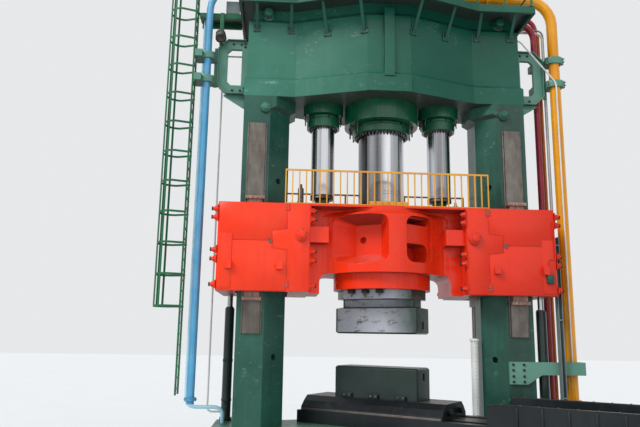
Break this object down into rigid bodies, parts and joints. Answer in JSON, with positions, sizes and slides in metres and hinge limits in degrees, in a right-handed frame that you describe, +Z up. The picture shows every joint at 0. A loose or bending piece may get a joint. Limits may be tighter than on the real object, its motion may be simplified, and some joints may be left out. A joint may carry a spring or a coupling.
{
  "type": "hydraulic open-die forging press",
  "caption": "Two-post open-die forging press: cast frame, three-ram crosshead in housings that slide on the posts, angled table and dies, deck, ladder and pipes.",
  "frame": {"origin": "centre of the lower beam's bottom face", "axes": "+Z up along the ram's stroke, +X from the left post to the right post, -Y out of the front, where the press is fed"},
  "size_m": [13.9732, 8.0688, 16.4009],
  "materials": {
    "frame_green": "semi-gloss dark green paint",
    "cylinder_green": "semi-gloss deep green paint",
    "crosshead_red": "semi-gloss orange-red paint",
    "guard_yellow": "semi-gloss yellow paint",
    "ram_steel": "ground and polished",
    "guide_steel": "hardened, dark and oiled",
    "shoe_steel": "machined, dull",
    "rod_steel": "turned, dark",
    "die_steel": "dark scaled forging steel with old green paint",
    "table_steel": "dark, worn",
    "pipe_blue": "semi-gloss blue paint",
    "pipe_yellow": "semi-gloss yellow paint",
    "pipe_red": "semi-gloss dark red paint",
    "bracket_green": "semi-gloss green paint",
    "ladder_green": "semi-gloss mid green paint",
    "gauge_white": "satin off-white paint",
    "channel_grey": "satin grey paint"
  },
  "bodies": {
    "frame": {"lower_beam": "frame_green", "left_post": "frame_green", "right_post": "frame_green", "upper_beam": "frame_green", "tie_rod_left_front": "rod_steel", "tie_rod_left_rear": "rod_steel", "tie_rod_right_front": "rod_steel", "tie_rod_right_rear": "rod_steel", "tie_rod_nut_left_front": "rod_steel", "tie_rod_nut_left_rear": "rod_steel", "tie_rod_nut_right_front": "rod_steel", "tie_rod_nut_right_rear": "rod_steel", "guide_strip_left_front": "guide_steel", "guide_strip_left_rear": "guide_steel", "guide_strip_right_front": "guide_steel", "guide_strip_right_rear": "guide_steel", "main_cylinder": "cylinder_green", "side_cylinder_left": "cylinder_green", "side_cylinder_right": "cylinder_green", "main_gland": "cylinder_green", "side_gland_left": "cylinder_green", "side_gland_right": "cylinder_green", "return_cylinder_right_front": "die_steel", "return_cylinder_left_rear": "die_steel", "top_deck": "bracket_green", "deck_rail": "ladder_green", "pipe_bracket_left": "bracket_green", "pipe_bracket_right": "bracket_green", "lower_pipe_bracket": "bracket_green", "ladder": "ladder_green", "ladder_cage": "ladder_green", "blue_pipe": "pipe_blue", "yellow_pipe": "pipe_yellow", "red_pipe": "pipe_red", "gauge_tube": "gauge_white", "cable_channel": "channel_grey", "table_bed": "table_steel", "slideway": "table_steel"},
    "crosshead": {"crosshead_centre": "crosshead_red", "crosshead_housing_left": "crosshead_red", "crosshead_housing_right": "crosshead_red", "main_ram": "ram_steel", "side_ram_left": "ram_steel", "side_ram_right": "ram_steel", "side_ram_stem_left": "cylinder_green", "side_ram_stem_right": "cylinder_green", "main_ram_ring": "guard_yellow", "guide_shoe_left_front": "shoe_steel", "guide_shoe_left_rear": "shoe_steel", "guide_shoe_right_front": "shoe_steel", "guide_shoe_right_rear": "shoe_steel", "front_guardrail": "guard_yellow", "rear_guardrail": "guard_yellow", "return_ram_right_front": "ram_steel", "return_ram_left_rear": "ram_steel", "upper_die_holder": "die_steel", "upper_die": "die_steel", "gauge_rod": "guide_steel"},
    "table": {"moving_table": "table_steel", "lower_die": "die_steel"}
  },
  "joints": [
    {"name": "crosshead_stroke", "type": "slide", "parent": "frame", "child": "crosshead", "axis": [0, 0, 1], "range_m": [-0.9, 1.8]},
    {"name": "table_travel", "type": "slide", "parent": "frame", "child": "table", "axis": [0.8192, -0.5736, 0], "range_m": [0, 3.4]}
  ]
}
